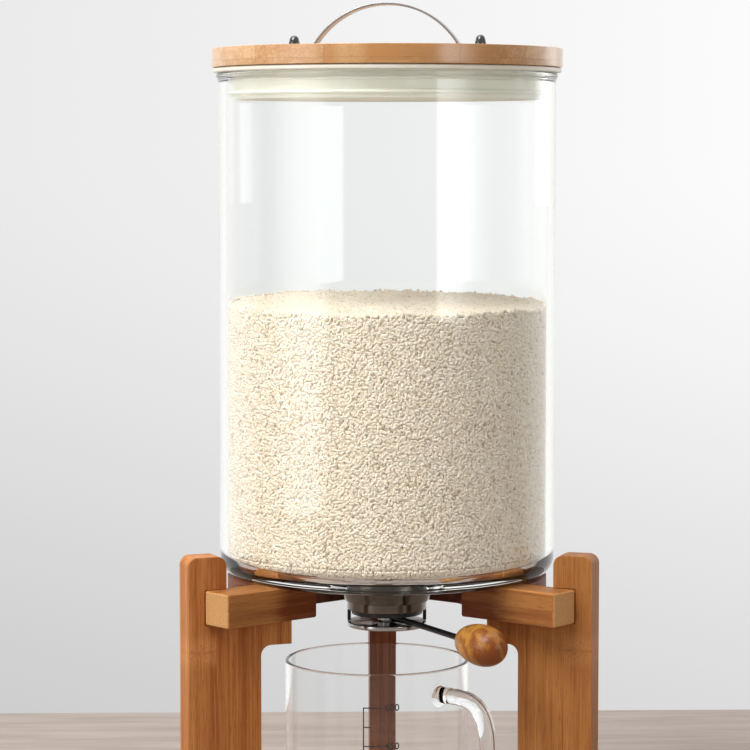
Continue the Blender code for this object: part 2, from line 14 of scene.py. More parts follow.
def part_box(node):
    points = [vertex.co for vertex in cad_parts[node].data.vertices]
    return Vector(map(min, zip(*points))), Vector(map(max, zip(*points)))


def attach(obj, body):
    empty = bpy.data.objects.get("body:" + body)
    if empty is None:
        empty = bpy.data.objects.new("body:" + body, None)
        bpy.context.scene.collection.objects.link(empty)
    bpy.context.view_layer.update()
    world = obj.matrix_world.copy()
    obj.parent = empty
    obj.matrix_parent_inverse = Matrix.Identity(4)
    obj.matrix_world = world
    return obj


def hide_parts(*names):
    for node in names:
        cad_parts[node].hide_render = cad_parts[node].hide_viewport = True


MM = 0.001
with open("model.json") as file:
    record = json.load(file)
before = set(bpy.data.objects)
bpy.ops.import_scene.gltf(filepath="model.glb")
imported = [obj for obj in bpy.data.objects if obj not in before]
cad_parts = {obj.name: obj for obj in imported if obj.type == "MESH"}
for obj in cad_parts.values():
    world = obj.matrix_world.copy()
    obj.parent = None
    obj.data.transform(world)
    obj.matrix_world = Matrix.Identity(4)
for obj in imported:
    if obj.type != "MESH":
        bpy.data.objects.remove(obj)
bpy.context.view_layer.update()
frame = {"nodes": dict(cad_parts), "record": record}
NODES = frame["nodes"]
BODIES = frame["record"]["behaviour"]["bodies"]
BODY_OF = {node: body for body, nodes in BODIES.items() for node in nodes}

JAR_LOW, JAR_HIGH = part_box("glass_jar")
LID_LOW, LID_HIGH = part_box("lid_disc")
PLUG_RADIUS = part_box("lid_plug")[1].x
SEAL_LOW, SEAL_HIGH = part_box("lid_seal")
GRAIN_LOW, GRAIN_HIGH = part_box("grain_fill")
CUP_LOW, CUP_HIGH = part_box("measuring_cup")
STRAP_LOW, STRAP_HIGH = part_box("handle_strap")
BOSS_LOW, BOSS_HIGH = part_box("lever_boss")

BASE = JAR_LOW.z
JAR_BEAD = JAR_HIGH.x
BEAD_OUT = 1.2 * MM
JAR_RADIUS = JAR_BEAD - BEAD_OUT
JAR_WALL = 4 * MM
JAR_FLOOR = 6 * MM
JAR_CORNER = 10 * MM
INNER_CORNER = 7 * MM
JAR_HOLE = 22.5 * MM
JAR_INNER = JAR_RADIUS - JAR_WALL
RING = 0.5 * MM  # from a rounded edge to the ring that keeps the wall beside it flat
EDGE_ROUND = 0.35 * MM  # of boards and the lid
ON_AXIS = 1e-7  # a point of a turned profile nearer than this lies on the axis
SAME_POINT = 1e-7

GRAIN_LENGTH = 2.9 * MM
GRAIN_WIDTH = 1.85 * MM
GRAIN_THICKNESS = 1.6 * MM
GRAIN_SPACING = 1.4 * MM
GRAIN_TILT = 0.2  # radians, out of the surface it lies on
GRAIN_ROLL = 0.5  # radians, about its length
GRAIN_SIZES = (0.86, 1.1)
GRAIN_TOP = GRAIN_HIGH.z - 1.5 * MM

CUP_RADIUS = 49.5 * MM
CUP_WALL = 2 * MM
CUP_FLOOR = 3.5 * MM
CUP_HOLLOW = 0.8 * MM  # under the floor, inside the ring that the cup stands on
CUP_PLACE = Vector((CUP_LOW.x + CUP_RADIUS, 0, 0))
HANDLE_AZIMUTH = math.radians(-48.7)
HANDLE_RADIUS = 4.4 * MM
HANDLE_LINE = (  # from the cup's axis, and up, in millimetres
    (48.2, 91.7), (54, 92.6), (60, 93), (66, 93), (71.5, 92.2), (76.4, 90.2), (80.3, 86.8), (83, 82),
    (84.8, 76), (85.5, 69), (85.2, 61), (83.6, 53), (80.6, 45.5), (76, 38.8), (70, 33.6), (63, 30.2),
    (55, 28.6), (48.2, 28.2),
)
HANDLE_FLARE = (1.45, 1.34, 1.2, 1.1, 1.04)  # where the rod is fused on, as multiples of its radius
JOINT_RINGS = (99 * MM, 85 * MM, 35 * MM, 21 * MM)  # above and below both of its joints

BAR_ANGLE = math.radians(40)
LEG_ANGLE = math.radians(20)
LEVER_AZIMUTH = math.radians(-57.5)
LEVER_SLOPE = -2.85 / 63  # it sinks towards the knob
STRAP_TURN = math.radians(-9)
RANDOM = random.Random(11)


# ---------------------------------------------------------------- shading


def feed(tree, socket, value):
    if isinstance(value, bpy.types.NodeSocket):
        tree.links.new(value, socket)
    elif value is not None:
        socket.default_value = value


def add_node(tree, kind, values, **settings):
    """A shader node with its settings, and its inputs set to values or linked to other nodes."""
    made = tree.nodes.new("ShaderNode" + kind)
    for key, value in settings.items():
        setattr(made, key, value)
    for key, value in values.items():
        feed(tree, made.inputs[key], value)
    return made


def add_step(tree, value, low, high, start, end):
    """A smooth step of value from start to end between low and high."""
    values = {"Value": value, "From Min": low, "From Max": high, "To Min": start, "To Max": end}
    return add_node(tree, "MapRange", values, interpolation_type="SMOOTHSTEP").outputs[0]


class Shading:
    """A material under construction: its node tree and short names for the nodes used here."""

    def __init__(self, name, colour=(0.8, 0.8, 0.8), roughness=0.5, metallic=0.0):
        self.material = bpy.data.materials.new(name)
        self.material.use_nodes = True
        self.tree = self.material.node_tree
        self.shader = self.tree.nodes["Principled BSDF"]
        self.set("Base Color", (*colour, 1))
        self.set("Roughness", roughness)
        self.set("Metallic", metallic)

    def node(self, kind, values, **settings):
        return add_node(self.tree, kind, values, **settings)

    def set(self, key, value):
        feed(self.tree, self.shader.inputs[key], value)

    def math(self, operation, a, b=None):
        return self.node("Math", {0: a, 1: b}, operation=operation).outputs[0]

    def sum(self, *terms):
        total = terms[0]
        for term in terms[1:]:
            total = self.math("ADD", total, term)
        return total

    def times(self, a, b):
        return self.math("MULTIPLY", a, b)

    def clamped(self, value):
        return self.math("MINIMUM", self.math("MAXIMUM", value, 0.0), 1.0)

    def step(self, value, low, high, start=0.0, end=1.0):
        return add_step(self.tree, value, low, high, start, end)

    def vector(self, x, y, z):
        return self.node("CombineXYZ", {0: x, 1: y, 2: z}).outputs[0]

    def noise(self, vector, detail, roughness=0.5):
        values = {"Vector": vector, "Scale": 1.0, "Detail": detail, "Roughness": roughness}
        return self.node("TexNoise", values).outputs[0]

    def clouds(self, place, scales, detail, roughness=0.5):
        """Noise over a place's x, y and z, with its own number of waves per metre along each."""
        scaled = [self.times(value, scale) for value, scale in zip(place, scales)]
        return self.noise(self.vector(*scaled), detail, roughness)

    def mix(self, factor, a, b):
        """Colour a where the factor is 0, and colour b where it is 1."""
        made = self.tree.nodes.new("ShaderNodeMix")
        made.data_type = "RGBA"
        for index, value in ((0, factor), (6, a), (7, b)):
            if isinstance(value, tuple):
                value = (*value, 1)
            feed(self.tree, made.inputs[index], value)
        return made.outputs[2]

    def place(self, location=(0, 0, 0), axes=None):
        """Object coordinates measured from a place, along axes, as separate x, y and z."""
        where = self.node("TexCoord", {}).outputs["Object"]
        turn = Matrix(axes).transposed().to_euler() if axes else (0, 0, 0)
        values = {"Vector": where, "Location": location, "Rotation": turn}
        moved = self.node("Mapping", values, vector_type="TEXTURE").outputs[0]
        return tuple(self.node("SeparateXYZ", {0: moved}).outputs)

    def bump(self, height, strength, distance):
        values = {"Height": height, "Strength": strength, "Distance": distance}
        self.set("Normal", self.node("Bump", values).outputs[0])


SAWN_LIGHT = (0.63, 0.36, 0.15)
SAWN_DARK = (0.55, 0.30, 0.12)


def bamboo(
    name, light, dark, location, axes, strip=20 * MM, ply=5 * MM, spacing=190 * MM, first=120 * MM,
    ends=0.0, fade=(30 * MM, 88 * MM), cut=None, coat=0.0,
):
    """Laminated bamboo: strips side by side and plies through the thickness, each with its own tone,
    fine fibres along the grain, and the faint ring and dark specks of a node, the first one at first
    and the others a spacing apart. With ends, painted shade darkens the wood's middle and painted light
    lightens it through the distances of fade outwards, or towards its sawn end where it has one: at the
    height cut, where its end grain is paler."""
    made = Shading(name, light)
    x, y, z = made.place(location, axes)
    strip_at = made.math("DIVIDE", x, strip)
    ply_at = made.math("DIVIDE", y, ply)
    number = made.vector(made.math("FLOOR", strip_at), made.math("FLOOR", ply_at), 0.0)
    own = made.node("TexWhiteNoise", {"Vector": number}, noise_dimensions="3D")
    tone = own.outputs["Value"]
    start = made.times(tone, 37.0)

    def grain(across, along, detail):
        """Noise with its waves per metre across and along the fibres, different in every strip."""
        place = made.vector(made.times(x, across), made.times(y, across), made.times(z, along))
        shifted = made.node("VectorMath", {0: place, 1: made.vector(start, start, start)})
        return made.noise(shifted.outputs[0], detail, 0.6)

    fibres = grain(1100, 26, 4.0)
    streaks = grain(170, 5, 3.0)
    pores = made.step(grain(2300, 120, 1.0), 0.60, 0.74)
    balance = made.sum(
        made.times(made.math("SUBTRACT", tone, 0.5), 0.55),
        made.times(made.math("SUBTRACT", streaks, 0.5), 1.5),
        made.times(made.math("SUBTRACT", fibres, 0.5), 1.3),
        0.5,
    )
    # painted light and shade: darker in the middle, lighter towards the ends or towards the sawn end
    if ends:
        reach = made.math("ABSOLUTE", z) if cut is None else made.math("SUBTRACT", cut, z)
        balance = made.math("ADD", balance, made.step(reach, *fade, -0.4, ends))
    colour = made.mix(made.clamped(balance), dark, light)
    colour = made.mix(made.times(pores, 0.45), colour, tuple(c * 0.45 for c in dark))

    shift = made.times(made.math("FLOOR", strip_at), 0.37)
    at = made.sum(made.math("DIVIDE", z, spacing), shift, 0.5 - first / spacing)
    away = made.math("SUBTRACT", made.math("FRACT", at), 0.5)
    off = made.times(made.math("ABSOLUTE", away), spacing)
    ring = made.step(off, 0.3 * MM, 1.2 * MM, 1.0, 0.0)
    halo = made.step(off, 3 * MM, 11 * MM, 1.0, 0.0)
    speck = made.step(grain(1300, 650, 2.0), 0.50, 0.66)
    pale = tuple(min(1.0, c * 1.35 + 0.05) for c in light)
    colour = made.mix(made.times(halo, 0.22), colour, pale)
    colour = made.mix(made.times(made.times(halo, speck), 0.45), colour, dark)
    colour = made.mix(made.times(ring, 0.15), colour, dark)

    def seam(value, size):
        near = made.math("SUBTRACT", value, made.math("ROUND", value))
        gap = made.times(made.math("ABSOLUTE", near), size)
        return made.step(gap, 0.05 * MM, 0.22 * MM, 1.0, 0.0)

    seams = made.math("MAXIMUM", seam(strip_at, strip), seam(ply_at, ply))
    colour = made.mix(made.times(seams, 0.4), colour, tuple(c * 0.5 for c in dark))
    if cut is not None:
        sawn = made.step(z, cut + 0.1 * MM, cut + 0.5 * MM, 1.0, 0.0)
        dots = made.clouds((x, y, 0.0), (900, 900, 0), 2.0)
        end_grain = made.mix(made.step(dots, 0.35, 0.65), SAWN_LIGHT, SAWN_DARK)
        colour = made.mix(sawn, colour, end_grain)
    made.set("Base Color", colour)
    made.set("Roughness", made.sum(0.36, made.times(fibres, 0.22), made.times(pores, 0.1)))
    made.set("Specular IOR Level", 0.12)
    made.set("Coat Weight", coat)
    made.set("Coat Roughness", 0.2)
    made.set("Coat IOR", 1.6)
    height = made.sum(made.times(fibres, 0.5), ring, made.times(pores, -0.6), made.times(seams, -0.8))
    made.bump(height, 0.35, 0.12 * MM)
    return made.material


def clear_glass(name, tint, bending, wave):
    """Clear glass with the faint waviness of blown glass. Lamps shine through it."""
    made = Shading(name, tint, 0.0)
    made.set("Transmission Weight", 1.0)
    made.set("IOR", bending)
    ripple = made.clouds(made.place(), (22, 22, 9), 1.0)
    made.bump(ripple, wave, 1 * MM)
    output = made.tree.nodes["Material Output"]
    clear = made.node("BsdfTransparent", {"Color": (0.94, 0.96, 0.95, 1)})
    path = made.node("LightPath", {})
    both = made.node("MixShader", {0: path.outputs["Is Shadow Ray"]})
    made.tree.links.new(made.shader.outputs[0], both.inputs[1])
    made.tree.links.new(clear.outputs[0], both.inputs[2])
    made.tree.links.new(both.outputs[0], output.inputs["Surface"])
    return made.material


def steel(name, colour, roughness, turned=True, metallic=1.0):
    """Steel with fine tool marks: round a turned piece, or along a strip."""
    made = Shading(name, colour, roughness, metallic)
    x, y, z = made.place()
    if turned:
        radius = made.math("SQRT", made.sum(made.times(x, x), made.times(y, y)))
        marks = made.clouds((radius, 0.0, z), (5200, 0, 5200), 3.0)
    else:
        marks = made.clouds((x, y, z), (60, 3200, 60), 3.0)
    cloud = made.clouds((x, y, z), (90, 90, 90), 3.0)
    made.set("Roughness", made.sum(roughness - 0.08, made.times(marks, 0.08), made.times(cloud, 0.08)))
    shade = tuple(c * 0.82 for c in colour)
    made.set("Base Color", made.mix(made.step(cloud, 0.35, 0.7), colour, shade))
    made.bump(marks, 0.1 if turned else 0.02, 0.02 * MM)
    return made.material


def silicone():
    """Milky, slightly yellowed silicone rubber."""
    made = Shading("silicone", (0.86, 0.86, 0.78), 0.38)
    place = made.place()
    spots = made.clouds(place, (700, 700, 700), 3.0)
    cloud = made.clouds(place, (45, 45, 45), 2.0)
    clean, yellowed = (0.90, 0.89, 0.80), (0.84, 0.82, 0.71)
    made.set("Base Color", made.mix(made.step(cloud, 0.35, 0.7), clean, yellowed))
    made.set("Roughness", made.sum(0.30, made.times(spots, 0.2)))
    made.set("Subsurface Weight", 0.4)
    made.set("Subsurface Radius", (1.0, 0.95, 0.8))
    made.set("Subsurface Scale", 2.5 * MM)
    made.bump(spots, 0.1, 0.05 * MM)
    return made.material


KNOB_LIGHT = (0.66, 0.32, 0.068)
KNOB_DARK = (0.22, 0.058, 0.008)
# painted shade: the knob's tone grows darker towards its tip
TIP_PAINTED_SHADE = -24.0  # change of tone per metre towards the tip


def knob_wood():
    """Varnished honey-coloured wood with painted shade that darkens it towards the tip, its grain along
    the lever.
    """
    made = Shading("knob_wood", (0.6, 0.27, 0.05), 0.3)
    along = Vector((math.cos(LEVER_AZIMUTH), math.sin(LEVER_AZIMUTH), 0))
    across = Vector((-along.y, along.x, 0))
    place = made.place((0, 0, 0), (across, Vector((0, 0, 1)), along))
    wave = made.clouds(place, (75, 75, 22), 3.0)
    bands = made.math("SINE", made.sum(made.times(wave, 26), made.times(place[0], 380)))
    fine = made.clouds(place, (1500, 1500, 45), 3.0)
    balance = made.sum(
        0.46,
        made.times(bands, 0.24),
        made.times(made.math("SUBTRACT", fine, 0.5), 0.7),
        made.times(made.place()[2], TIP_PAINTED_SHADE),
    )
    made.set("Base Color", made.mix(made.clamped(balance), KNOB_DARK, KNOB_LIGHT))
    made.set("Roughness", made.sum(0.26, made.times(fine, 0.12)))
    made.set("Specular IOR Level", 0.25)
    made.set("Coat Weight", 0.12)
    made.set("Coat Roughness", 0.2)
    made.bump(fine, 0.08, 0.05 * MM)
    return made.material


def plain_wood(name, light, dark):
    """Straight-grained wood for the dowels."""
    made = Shading(name, light, 0.6)
    streaks = made.clouds(made.place(), (900, 300, 900), 3.0)
    made.set("Base Color", made.mix(made.step(streaks, 0.3, 0.7), dark, light))
    made.set("Roughness", made.sum(0.5, made.times(streaks, 0.2)))
    made.bump(streaks, 0.2, 0.05 * MM)
    return made.material


def felt():
    """Dark wool felt."""
    made = Shading("felt", (0.05, 0.045, 0.04), 0.95)
    fuzz = made.clouds(made.place(), (2600, 2600, 900), 4.0)
    made.set("Base Color", made.mix(fuzz, (0.03, 0.025, 0.02), (0.12, 0.10, 0.085)))
    made.set("Roughness", made.sum(0.85, made.times(fuzz, 0.15)))
    made.bump(fuzz, 0.6, 0.3 * MM)
    return made.material


def printed():
    """Black ceramic print, a little worn."""
    made = Shading("scale_print", (0.06, 0.05, 0.05), 0.55)
    wear = made.clouds(made.place(), (900, 900, 900), 2.0)
    fresh, worn = (0.022, 0.016, 0.015), (0.06, 0.045, 0.042)
    made.set("Base Color", made.mix(made.step(wear, 0.35, 0.75), fresh, worn))
    made.set("Roughness", made.sum(0.45, made.times(wear, 0.25)))
    return made.material


def rice(name, colour):
    made = Shading(name, colour, 0.5)
    made.set("Specular IOR Level", 0.3)
    return made.material


def rice_core():
    """Painted shade for the grains that lie deeper: a rice colour darkened as if in shade, in lumps of
    painted shade and painted light.
    """
    made = Shading("rice_core", (0.4, 0.3, 0.2), 0.7)
    lumps = made.clouds(made.place(), (420, 420, 420), 3.0)
    shaded, lit = (0.62, 0.53, 0.43), (0.78, 0.69, 0.58)
    made.set("Base Color", made.mix(made.step(lumps, 0.3, 0.7), shaded, lit))
    made.set("Roughness", made.sum(0.6, made.times(lumps, 0.2)))
    made.bump(lumps, 0.8, 1.2 * MM)
    return made.material


# ---------------------------------------------------------------- shapes


def arc(centre, radius, start, end, count):
    """Points along an arc between two angles in degrees."""
    points = []
    for i in range(count + 1):
        angle = math.radians(start + (end - start) * i / count)
        points.append((centre[0] + radius * math.cos(angle), centre[1] + radius * math.sin(angle)))
    return points


def polar(radius, azimuth, height):
    return Vector((radius * math.cos(azimuth), radius * math.sin(azimuth), height))


def new_object(name, mesh, material=None):
    obj = bpy.data.objects.new(name, mesh)
    bpy.context.scene.collection.objects.link(obj)
    if material:
        mesh.materials.append(material)
    return obj


def mesh_from(made, name):
    """A finished bmesh as a mesh."""
    mesh = bpy.data.meshes.new(name)
    made.to_mesh(mesh)
    made.free()
    return mesh


def mesh_of_curve(curve):
    """The shape of a curve or a text as a mesh."""
    guide = new_object(curve.name + "_guide", curve)
    graph = bpy.context.evaluated_depsgraph_get()
    mesh = bpy.data.meshes.new_from_object(guide.evaluated_get(graph))
    bpy.data.objects.remove(guide)
    return mesh


def ease_edges(obj, width, segments, angle):
    """Rounds the edges that are sharper than an angle in degrees."""
    bevel = obj.modifiers.new("eased edges", "BEVEL")
    bevel.width = width
    bevel.segments = segments
    bevel.limit_method = "ANGLE"
    bevel.angle_limit = math.radians(angle)


def keep_flat(obj, keep_sharp=True):
    """Weighs the normals by area, so that flat faces look flat beside a rounded edge or a joint."""
    weigh = obj.modifiers.new("flat faces stay flat", "WEIGHTED_NORMAL")
    weigh.keep_sharp = keep_sharp


def shade(mesh, sharp=40):
    mesh.shade_smooth()
    mesh.set_sharp_from_angle(angle=math.radians(sharp))


def piece(obj, nodes, body):
    """Puts a finished shape on its body, in place of the CAD nodes that it stands for."""
    if nodes:
        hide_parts(*nodes)
    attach(obj, body)
    return obj


def lathe(name, profile, material, steps=192, wobble=None, sharp=40):
    """A closed solid turned about Z from (radius, height) points that run down its outer side. A
    wobble(radius, height, step) is added to the radius of each of its points."""
    made = bmesh.new()
    rings = []
    for radius, height in profile:
        if radius < ON_AXIS:
            rings.append([made.verts.new((0, 0, height))])
            continue
        ring = []
        for i in range(steps):
            angle = 2 * math.pi * i / steps
            r = radius + (wobble(radius, height, i) if wobble else 0)
            ring.append(made.verts.new((r * math.cos(angle), r * math.sin(angle), height)))
        rings.append(ring)
    closed = len(rings[0]) > 1 or len(rings[-1]) > 1
    pairs = list(zip(rings, rings[1:] + rings[:1]))
    if not closed:
        pairs.pop()
    for upper, lower in pairs:
        for i in range(steps):
            j = (i + 1) % steps
            if len(upper) == 1:
                made.faces.new((upper[0], lower[i], lower[j]))
            elif len(lower) == 1:
                made.faces.new((upper[j], upper[i], lower[0]))
            else:
                made.faces.new((upper[j], upper[i], lower[i], lower[j]))
    mesh = mesh_from(made, name)
    shade(mesh, sharp)
    return new_object(name, mesh, material)


def refined(node, name, material, width=0.25 * MM, angle=55):
    """The CAD node's own shape with its split corners joined, its edges eased and its curves smooth."""
    join, flat = 0.002 * MM, math.radians(0.6)
    mesh = NODES[node].data.copy()
    made = bmesh.new()
    made.from_mesh(mesh)
    bmesh.ops.remove_doubles(made, verts=made.verts, dist=join)
    bmesh.ops.dissolve_limit(
        made, angle_limit=flat, verts=made.verts, edges=made.edges, delimit=set()
    )
    made.to_mesh(mesh)
    made.free()
    if "custom_normal" in mesh.attributes:
        mesh.attributes.remove(mesh.attributes["custom_normal"])
    mesh.materials.clear()
    shade(mesh, 60)
    obj = new_object(name, mesh, material)
    ease_edges(obj, width, 3, angle)
    keep_flat(obj)
    return piece(obj, [node], BODY_OF[node])


def tube(name, points, radius, material, sides, flare):
    """A round rod along a line of points, with closed ends that flare, as a mesh."""
    curve = bpy.data.curves.new(name, "CURVE")
    curve.dimensions = "3D"
    curve.bevel_depth = radius
    curve.bevel_resolution = sides
    curve.use_fill_caps = True
    spline = curve.splines.new("POLY")
    spline.points.add(len(points) - 1)
    for point, place in zip(spline.points, points):
        point.co = (*place, 1)
    for i, size in enumerate(flare):
        spline.points[i].radius = spline.points[-1 - i].radius = size
    mesh = mesh_of_curve(curve)
    made = bmesh.new()
    made.from_mesh(mesh)
    bmesh.ops.remove_doubles(made, verts=made.verts, dist=SAME_POINT)
    bmesh.ops.recalc_face_normals(made, faces=made.faces)
    made.to_mesh(mesh)
    made.free()
    shade(mesh, 50)
    return new_object(name, mesh, material)


def smooth_line(points, per_span):
    """A Catmull-Rom line through points."""
    ends = [2 * points[0] - points[1]] + list(points) + [2 * points[-1] - points[-2]]
    line = []
    for a, b, c, d in zip(ends, ends[1:], ends[2:], ends[3:]):
        square = 2 * a - 5 * b + 4 * c - d
        cube = 3 * b - 3 * c + d - a
        for i in range(per_span):
            t = i / per_span
            line.append(0.5 * (2 * b + (c - a) * t + square * t**2 + cube * t**3))
    line.append(Vector(points[-1]))
    return line


# ---------------------------------------------------------------- stand

STAND_LIGHT = (0.62, 0.27, 0.08)
STAND_DARK = (0.30, 0.088, 0.02)
# painted shade: a darker tone than the legs', which the bars' inner parts under the jar fade to
BAR_DARK_PAINTED_SHADE = (0.19, 0.045, 0.012)
# painted shade: the rear board and the yoke lie in the jar's shadow, so their tones are darker than the
# front boards'
REAR_LIGHT_PAINTED_SHADE = (0.30, 0.105, 0.046)
REAR_DARK_PAINTED_SHADE = (0.115, 0.027, 0.012)
BOARD_DEPTHS = {"leg_front_right": 0.8, "leg_front_left": 1.1, "leg_rear": 1.0}  # no two match


def level(angle):
    """A level direction, at an angle from +X."""
    return Vector((math.cos(angle), math.sin(angle), 0))


def make_stand():
    """Three boards on edge, two bars and the yoke between them, with their dowels, screws and feet."""
    up = Vector((0, 0, 1))
    headings = {
        "leg_front_right": math.pi - LEG_ANGLE,
        "leg_front_left": LEG_ANGLE,
        "leg_rear": -math.pi / 2,
    }
    for number, (node, heading) in enumerate(headings.items()):
        inwards = level(heading)
        low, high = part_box(node)
        corner = Vector((low.x, low.y if inwards.y > 0 else high.y, 0))
        if node == "leg_front_right":
            corner.x = high.x
        across = up.cross(inwards)
        start = corner + across * (0.4 * MM * number)
        tones = (REAR_LIGHT_PAINTED_SHADE, REAR_DARK_PAINTED_SHADE) if node == "leg_rear" else (STAND_LIGHT, STAND_DARK)
        tones = [tuple(c * BOARD_DEPTHS[node] for c in tone) for tone in tones]
        wood = bamboo("bamboo_" + node, *tones, start, (inwards, across, up))
        refined(node, node.replace("leg", "board"), wood, EDGE_ROUND, 30)
    for side, heading in (("left", BAR_ANGLE), ("right", math.pi - BAR_ANGLE)):
        along = level(heading)
        across = up.cross(along)
        node = "rest_bar_" + side
        low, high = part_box(node)
        centre = (low + high) / 2
        bar = NODES[node]
        corners = [bar.matrix_world @ vertex.co - centre for vertex in bar.data.vertices]
        # painted shadow of the jar: each bar darkens from its lit outer end towards its inner part under
        # the jar
        wood = bamboo(
            "bamboo_" + node, STAND_LIGHT, BAR_DARK_PAINTED_SHADE, centre, (across, up, along), 9.6 * MM, 9 * MM,
            ends=0.4, fade=(-42 * MM, -28 * MM), cut=min(corner.dot(along) for corner in corners),
        )
        refined(node, "bar_" + side, wood, EDGE_ROUND, 30)
    low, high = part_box("hub_plate")
    axes = (Vector((0, 1, 0)), up, Vector((1, 0, 0)))
    # painted shade: the yoke under the jar takes the rear board's darkened tones
    wood = bamboo("bamboo_hub", REAR_LIGHT_PAINTED_SHADE, REAR_DARK_PAINTED_SHADE, low, axes, 22 * MM, 6 * MM)
    refined("hub_plate", "yoke", wood, EDGE_ROUND, 30)
    pale = plain_wood("dowel_wood", (0.62, 0.45, 0.26), (0.48, 0.32, 0.17))
    plated = steel("screw_steel", (0.62, 0.61, 0.58), 0.32)
    soft = felt()
    for node in NODES:
        if node.startswith("dowel"):
            refined(node, node.replace("dowel", "peg"), pale)
        elif node.startswith(("bracket_screw", "tab_screw")):
            refined(node, node.replace("screw", "fixing"), plated)
        elif node.startswith("foot_pad"):
            refined(node, node.replace("foot", "felt"), soft)


# ---------------------------------------------------------------- jar and grain


def make_jar(glass):
    """The jar with a rolled bead at its rim, a rounded bottom edge and a thick floor."""
    top = JAR_HIGH.z
    floor = BASE + JAR_FLOOR
    lip, bead, neck, chamfer = 1.2 * MM, 1.5 * MM, 4.4 * MM, 1 * MM
    profile = arc((JAR_INNER + lip, top - lip), lip, 180, 90, 4)
    profile += arc((JAR_BEAD - bead, top - bead), bead, 90, -50, 8)
    profile += [(JAR_RADIUS, top - neck), (JAR_RADIUS, top - 5 * MM)]
    profile += [(JAR_RADIUS, BASE + JAR_CORNER + RING)]
    corner = (JAR_RADIUS - JAR_CORNER, BASE + JAR_CORNER)
    profile += arc(corner, JAR_CORNER, 0, -90, 12)
    profile += [(JAR_RADIUS - JAR_CORNER - RING, BASE), (JAR_HOLE + chamfer + RING, BASE)]
    profile += [(JAR_HOLE + chamfer, BASE), (JAR_HOLE, BASE + chamfer)]
    profile += [(JAR_HOLE, floor - chamfer), (JAR_HOLE + chamfer, floor)]
    profile += [(JAR_HOLE + chamfer + RING, floor), (JAR_INNER - INNER_CORNER - RING, floor)]
    profile += arc((JAR_INNER - INNER_CORNER, floor + INNER_CORNER), INNER_CORNER, -90, 0, 10)
    profile += [(JAR_INNER, floor + INNER_CORNER + RING), (JAR_INNER, top - lip - RING)]
    obj = lathe("jar_glass", profile, glass, 256, sharp=60)
    piece(obj, ["glass_jar"], "jar")


def heap(x, y):
    """Height of the grain's surface: gentle mounds that rise a little towards the back."""
    broad = Vector((x / 0.045, y / 0.045, 1.7))
    fine = Vector((x / 0.012, y / 0.012, 4.2))
    slope = 2.0 * MM * y / JAR_INNER
    return GRAIN_TOP + slope + 1.6 * MM * noise.noise(broad) + 0.7 * MM * noise.noise(fine)


def make_core():
    """What lies behind the outer grains, so that no light comes through between them."""
    reach = JAR_INNER - 1.7 * MM
    low = GRAIN_LOW.z + 1.4 * MM
    sunk = 1.6 * MM
    collar, collar_top = 34 * MM, BASE + 12.6 * MM  # round the outlet's flange
    steps, rings = 96, 20
    made = bmesh.new()
    top = made.verts.new((0, 0, heap(0, 0) - sunk))
    loops = []
    for k in range(1, rings + 1):
        radius = reach * k / rings
        loop = []
        for i in range(steps):
            spot = polar(radius, 2 * math.pi * i / steps, 0)
            spot.z = heap(spot.x, spot.y) - sunk
            loop.append(made.verts.new(spot))
        loops.append(loop)
    corner = (reach - INNER_CORNER, low + INNER_CORNER)
    side = [(reach, low + 60 * MM)] + arc(corner, INNER_CORNER, 0, -90, 5)
    side += [(collar, low), (collar, collar_top)]
    for radius, height in side:
        places = [polar(radius, 2 * math.pi * i / steps, height) for i in range(steps)]
        loops.append([made.verts.new(place) for place in places])
    last = made.verts.new((0, 0, collar_top))
    for i in range(steps):
        j = (i + 1) % steps
        made.faces.new((top, loops[0][i], loops[0][j]))
        made.faces.new((loops[-1][j], loops[-1][i], last))
        for upper, lower in zip(loops, loops[1:]):
            made.faces.new((upper[j], upper[i], lower[i], lower[j]))
    mesh = mesh_from(made, "grain_core")
    shade(mesh, 60)
    piece(new_object("grain_core", mesh, rice_core()), ["grain_fill"], "jar")


def grain_shape():
    """One grain of unit length: its points, its triangles and quads."""
    sides = 5
    hoops = ((-0.34, 0.72), (0.0, 1.0), (0.34, 0.76))
    points = [(-0.5, 0, 0)]
    for along, size in hoops:
        for i in range(sides):
            angle = 2 * math.pi * i / sides
            points.append((along, 0.5 * size * math.cos(angle), 0.5 * size * math.sin(angle)))
    points.append((0.5, 0, 0))
    faces = []
    middle, last = 1 + sides, 1 + 2 * sides
    for i in range(sides):
        j = (i + 1) % sides
        faces.append((0, 1 + j, 1 + i))
        faces.append((1 + i, 1 + j, middle + j, middle + i))
        faces.append((middle + i, middle + j, last + j, last + i))
        faces.append((last + i, last + j, last + sides))
    return points, faces


def grain_matrix(spot, normal, limit):
    """A grain at a spot on a surface, turned at random in it, and clear of what is limit beyond it."""
    side = normal.orthogonal().normalized()
    side = Matrix.Rotation(RANDOM.uniform(0, 2 * math.pi), 3, normal) @ side
    tilt = RANDOM.gauss(0, GRAIN_TILT)
    along = (side * math.cos(tilt) + normal * math.sin(tilt)).normalized()
    roll = Matrix.Rotation(RANDOM.uniform(-GRAIN_ROLL, GRAIN_ROLL), 3, along)
    third = (roll @ along.cross(normal)).normalized()
    flat = along.cross(third)
    size = RANDOM.uniform(*GRAIN_SIZES)
    spans = (GRAIN_LENGTH * size, GRAIN_WIDTH * size, GRAIN_THICKNESS * size)
    axes = (along, third, flat)
    reach = math.sqrt(sum((0.5 * span * axis.dot(normal)) ** 2 for span, axis in zip(spans, axes)))
    sunk = max(0.0, reach - limit)
    place = spot - normal * sunk
    made = Matrix.Identity(4)
    for column, (axis, span) in enumerate(zip(axes, spans)):
        made.col[column] = (*(axis * span), 0)
    made.col[3] = (*place, 1)
    return made


